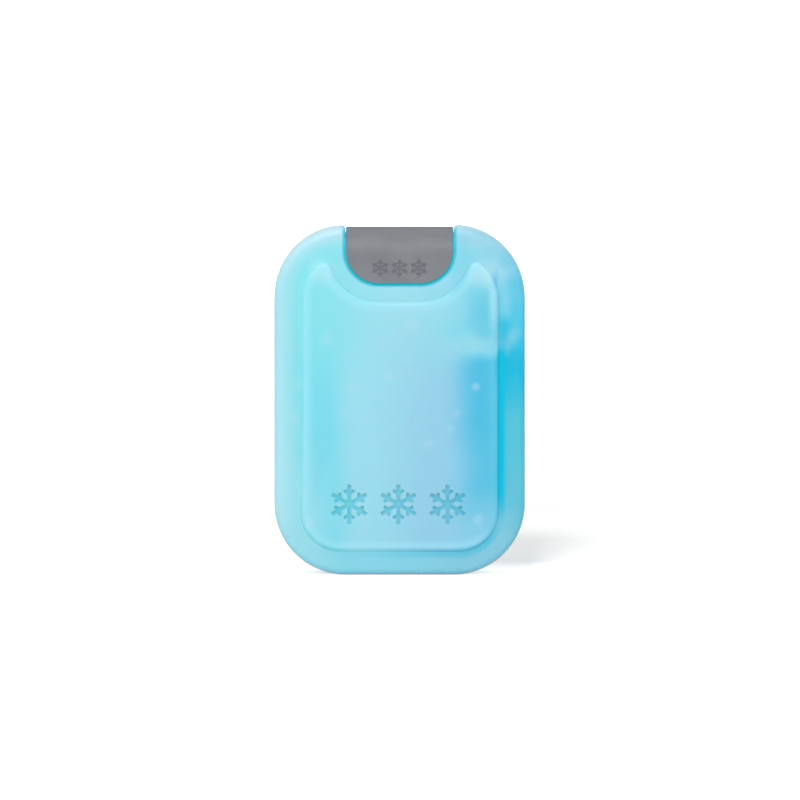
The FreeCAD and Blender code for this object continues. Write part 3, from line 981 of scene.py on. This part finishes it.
def cloudy_material(name, dark, light, scale, roughness):
    """A plain plastic or gel with soft clouds between two tones."""
    material = bpy.data.materials.new(name)
    material.use_nodes = True
    nodes = material.node_tree.nodes
    links = material.node_tree.links
    shader = nodes["Principled BSDF"]
    place = nodes.new("ShaderNodeTexCoord").outputs["Object"]
    clouds = noise_texture(nodes, links, place, scale, detail=4.0)
    tone = color_ramp(nodes, links, clouds["Fac"], [(0.35, dark), (0.65, light)])
    links.new(tone, shader.inputs["Base Color"])
    add_grain(nodes, links, shader, place, size_mm=0.6, depth_mm=0.01, roughness=roughness, spread=0.05)
    return material


gel = cloudy_material("gel", linear(150, 212, 236), linear(212, 238, 248), scale=60.0, roughness=0.3)
plug = cloudy_material("plug", linear(196, 226, 236), linear(212, 236, 242), scale=120.0, roughness=0.45)
print("materials:", gel.name, plug.name)

# %% [markdown]
# ## Snowflakes
#
# A snowflake says "keep frozen" on a pack of any make. It is one arm repeated
# six times, and the pack carries a row of them, so Geometry Nodes make both:
# one tree builds an arm from bars, sets six arms round a point, and sets the
# flakes in a row. The result cuts the recess in the panel and in the cap.

# %% Geometry Nodes: a row of snowflakes
ARMS = 6
# Twigs as shares of the arm's width and length.
TWIG_WIDTH = 0.8
TWIG_LENGTH = 0.32
TWIG_START = 0.52
TWIG_LEAN = math.radians(55)


def tree_math(tree, operation, *values):
    """A Math node in a geometry tree whose inputs are numbers or sockets."""
    return math_node(tree.nodes, tree.links, operation, *values)


def vector(tree, x=0.0, y=0.0, z=0.0):
    """A vector made of numbers or sockets."""
    node = tree.nodes.new("ShaderNodeCombineXYZ")
    for index, value in enumerate((x, y, z)):
        feed(tree.links, node.inputs[index], value)
    return node.outputs[0]


def bar(tree, width, depth, length, start, lean):
    """A bar that leaves the arm's middle line at a height, leaning by an angle."""
    links = tree.links
    cube = tree.nodes.new("GeometryNodeMeshCube")
    links.new(vector(tree, width, depth, length), cube.inputs["Size"])
    lift = tree.nodes.new("GeometryNodeTransform")
    links.new(cube.outputs["Mesh"], lift.inputs["Geometry"])
    links.new(vector(tree, z=tree_math(tree, "MULTIPLY", length, 0.5)), lift.inputs["Translation"])
    set_in = tree.nodes.new("GeometryNodeTransform")
    links.new(lift.outputs["Geometry"], set_in.inputs["Geometry"])
    links.new(vector(tree, z=start), set_in.inputs["Translation"])
    links.new(vector(tree, y=lean), set_in.inputs["Rotation"])
    return set_in.outputs["Geometry"]


def snowflake_tree():
    """Arms round a point, and flakes in a row, all from bars."""
    tree = bpy.data.node_groups.new("snowflake_row", "GeometryNodeTree")
    group_socket(tree, "Geometry", "NodeSocketGeometry", "OUTPUT")
    for name, kind, default in (
        ("Flake Radius", "NodeSocketFloat", 0.008),
        ("Bar Width", "NodeSocketFloat", 0.001),
        ("Depth", "NodeSocketFloat", 0.001),
        ("Flakes", "NodeSocketInt", 1),
        ("Spacing", "NodeSocketFloat", 0.02),
        ("Place", "NodeSocketVector", (0, 0, 0)),
        ("Material", "NodeSocketMaterial", None),
    ):
        group_socket(tree, name, kind, "INPUT", default)
    links = tree.links
    given = tree.nodes.new("NodeGroupInput").outputs
    radius = given["Flake Radius"]
    width = given["Bar Width"]
    depth = given["Depth"]

    arm = tree.nodes.new("GeometryNodeJoinGeometry")
    links.new(bar(tree, width, depth, radius, 0.0, 0.0), arm.inputs["Geometry"])
    twig_width = tree_math(tree, "MULTIPLY", width, TWIG_WIDTH)
    twig_length = tree_math(tree, "MULTIPLY", radius, TWIG_LENGTH)
    twig_start = tree_math(tree, "MULTIPLY", radius, TWIG_START)
    for lean in (-TWIG_LEAN, TWIG_LEAN):
        twig = bar(tree, twig_width, depth, twig_length, twig_start, lean)
        links.new(twig, arm.inputs["Geometry"])

    ring = tree.nodes.new("GeometryNodeMeshLine")
    ring.inputs["Count"].default_value = ARMS
    ring.inputs["Offset"].default_value = (0, 0, 0)
    number = tree.nodes.new("GeometryNodeInputIndex").outputs[0]
    turn = tree_math(tree, "MULTIPLY", number, math.radians(360 / ARMS))
    arms = tree.nodes.new("GeometryNodeInstanceOnPoints")
    links.new(ring.outputs["Mesh"], arms.inputs["Points"])
    links.new(arm.outputs["Geometry"], arms.inputs["Instance"])
    links.new(vector(tree, y=turn), arms.inputs["Rotation"])
    flake = tree.nodes.new("GeometryNodeRealizeInstances")
    links.new(arms.outputs["Instances"], flake.inputs["Geometry"])

    row = tree.nodes.new("GeometryNodeMeshLine")
    links.new(given["Flakes"], row.inputs["Count"])
    spacing = given["Spacing"]
    gaps = tree_math(tree, "SUBTRACT", given["Flakes"], 1.0)
    first = tree_math(tree, "MULTIPLY", tree_math(tree, "MULTIPLY", gaps, spacing), -0.5)
    links.new(vector(tree, x=first), row.inputs["Start Location"])
    links.new(vector(tree, x=spacing), row.inputs["Offset"])
    flakes = tree.nodes.new("GeometryNodeInstanceOnPoints")
    links.new(row.outputs["Mesh"], flakes.inputs["Points"])
    links.new(flake.outputs["Geometry"], flakes.inputs["Instance"])
    moved = tree.nodes.new("GeometryNodeTransform")
    links.new(flakes.outputs["Instances"], moved.inputs["Geometry"])
    links.new(given["Place"], moved.inputs["Translation"])
    real = tree.nodes.new("GeometryNodeRealizeInstances")
    links.new(moved.outputs["Geometry"], real.inputs["Geometry"])
    dressed = tree.nodes.new("GeometryNodeSetMaterial")
    links.new(real.outputs["Geometry"], dressed.inputs["Geometry"])
    links.new(given["Material"], dressed.inputs["Material"])
    end = tree.nodes.new("NodeGroupOutput")
    links.new(dressed.outputs["Geometry"], end.inputs["Geometry"])
    return tree


flake_tree = snowflake_tree()
print("geometry tree:", flake_tree.name, "with", len(flake_tree.nodes), "nodes")

# %% [markdown]
# A Geometry Nodes modifier takes its inputs by the identifier of each socket,
# such as Socket_2, and not by the name that the panel shows. The helper looks
# the identifiers up, sets the values, and turns the result into a plain mesh.

# %% Run a tree with given sizes


def apply_modifiers(piece):
    """Turn a piece and its modifiers into one plain mesh."""
    depsgraph = bpy.context.evaluated_depsgraph_get()
    plain = bpy.data.meshes.new_from_object(piece.evaluated_get(depsgraph))
    piece.modifiers.clear()
    piece.data = plain
    return plain


def make_from_tree(name, tree, **sizes):
    """A plain mesh object from a geometry tree; sizes are named with _ for spaces."""
    made = bpy.data.objects.new(name, bpy.data.meshes.new(name))
    scene.collection.objects.link(made)
    modifier = made.modifiers.new("nodes", "NODES")
    modifier.node_group = tree
    for item in tree.interface.items_tree:
        key = item.name.replace(" ", "_")
        if item.in_out == "INPUT" and key in sizes:
            modifier[item.identifier] = sizes[key]
    print(f"{name}: {len(apply_modifiers(made).polygons)} faces")
    return made


PANEL_FACE = 13.0 * MM
CAP_FACE = 11.7 * MM
RECESS = 0.5 * MM
CAP_RECESS = 0.3 * MM

# Half of each bar's depth lies outside the face, and the other half cuts it.
panel_flakes = make_from_tree(
    "panel_flakes",
    flake_tree,
    Flake_Radius=8.7 * MM,
    Bar_Width=1.75 * MM,
    Depth=2 * RECESS,
    Flakes=3,
    Spacing=21.5 * MM,
    Place=(-0.5 * MM, -PANEL_FACE, 31.3 * MM),
    Material=frosted,
)
cap_flakes = make_from_tree(
    "cap_flakes",
    flake_tree,
    Flake_Radius=3.8 * MM,
    Bar_Width=0.85 * MM,
    Depth=2 * CAP_RECESS,
    Flakes=3,
    Spacing=8.4 * MM,
    Place=(0.0, -CAP_FACE, 134.8 * MM),
    Material=grey,
)
print("cutters:", panel_flakes.name, cap_flakes.name)

# %% [markdown]
# ## The shell and the cap, with the flakes cut in
#
# Both pieces keep the CAD form. A copy of each mesh has its loose triangles
# merged into one closed skin, and a Boolean cuts the flakes. Where their six
# arms meet in the middle it leaves points on top of each other, so the skin is
# merged once more. Edges steeper than a set angle stay crisp, and weighted
# normals keep the large flat faces flat beside the small roundings.

# %% Cut the flakes
CRISP_ANGLE = math.radians(38)
MERGE_DISTANCE = 0.001 * MM


def merge_points(mesh):
    """Merge points that lie on each other; returns how many edges stay open."""
    skin = bmesh.new()
    skin.from_mesh(mesh)
    bmesh.ops.remove_doubles(skin, verts=skin.verts, dist=MERGE_DISTANCE)
    open_edges = sum(1 for edge in skin.edges if not edge.is_manifold)
    skin.to_mesh(mesh)
    skin.free()
    return open_edges


def cut_copy(name, node, cutter, material):
    """A merged copy of a CAD node with the cutter's shape sunk into it."""
    piece = bpy.data.objects.new(name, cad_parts[node].data.copy())
    scene.collection.objects.link(piece)
    open_before = merge_points(piece.data)
    piece.data.materials.clear()
    piece.data.materials.append(material)
    cut = piece.modifiers.new("cut", "BOOLEAN")
    cut.operation = "DIFFERENCE"
    cut.solver = "EXACT"
    cut.use_self = True
    cut.object = cutter
    mesh = apply_modifiers(piece)
    open_after = merge_points(mesh)
    mesh.polygons.foreach_set("use_smooth", [True] * len(mesh.polygons))
    mesh.set_sharp_from_angle(angle=CRISP_ANGLE)
    weighted = piece.modifiers.new("weighted", "WEIGHTED_NORMAL")
    weighted.keep_sharp = True
    apply_modifiers(piece)
    bpy.data.objects.remove(cutter)
    print(f"{name}: {open_before} open edges before the cut, {open_after} after it")
    return piece


dressed_shell = cut_copy("frosted_shell", "shell", panel_flakes, frosted)
dressed_cap = cut_copy("grey_cap", "cap", cap_flakes, grey)

# %% [markdown]
# ## Handing over
#
# Each new piece rides on the root body, and the CAD solid it stands for is hidden. The gel and the plug
# are solids of the CAD model already, so they only get their material.

# %% Hand the pieces to the frame
for piece, node, slot in ((dressed_shell, "shell", "frosted_shell"), (dressed_cap, "cap", "grey_cap")):
    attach(piece, "root")
    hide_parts(node)
for node, material in (("coolant", gel), ("fill_plug", plug)):
    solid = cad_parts[node]
    solid.data.materials.clear()
    solid.data.materials.append(material)
print("pieces:", dressed_shell.name, dressed_cap.name)

# %% [markdown]
# ## Sizes
#
# The dressed model has to fill the same box as the solids, so both boxes are printed.

# %% Print the two boxes
visual_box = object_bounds()
for label, box in (("solids", cad_box), ("dressed", visual_box)):
    print(label, [[round(value * MM_IN_METRE, 2) for value in corner] for corner in box])
